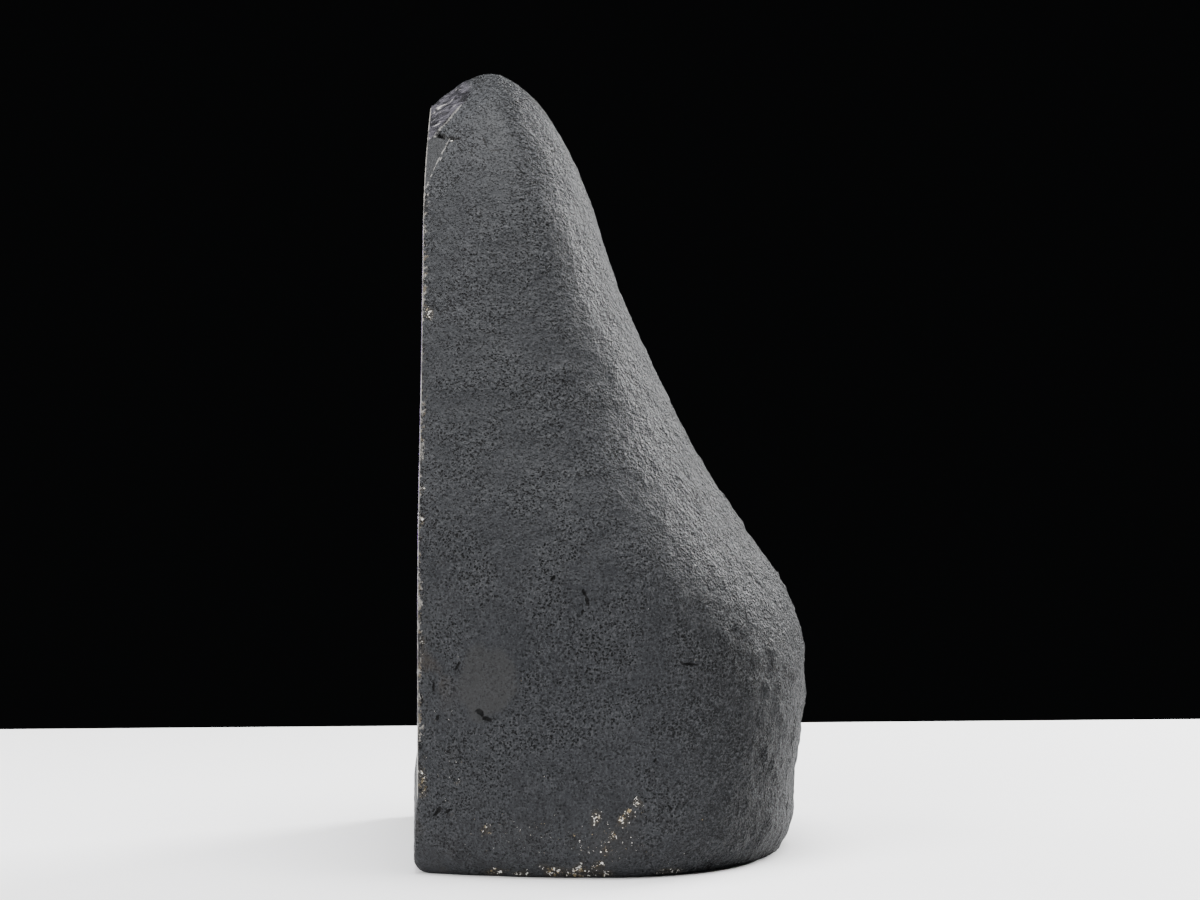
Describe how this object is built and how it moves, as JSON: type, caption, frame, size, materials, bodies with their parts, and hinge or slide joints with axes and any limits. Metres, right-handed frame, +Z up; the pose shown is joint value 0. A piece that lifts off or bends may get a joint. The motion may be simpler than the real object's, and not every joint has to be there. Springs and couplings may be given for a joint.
{
  "type": "amethyst geode dome",
  "caption": "Tall half geode with a rough dark coat, sawn flat down the front and standing on its own foot, its hollow lined with amethyst crystals.",
  "frame": {"origin": "on the resting surface, under the middle of the whole stone", "axes": "+Z up; -Y out of the sawn face; +X across that face, to the right hand of the stone for one who looks out of the hollow with its back"},
  "size_m": [0.2826, 0.2414, 0.4798],
  "materials": {
    "dark_coat": "rough stippled cement coat, matt",
    "amethyst": "natural crystal faces, purple at the points and milky at the roots"
  },
  "bodies": {
    "root": {"rock_shell": "dark_coat", "crystal_crust": "amethyst"}
  },
  "joints": []
}
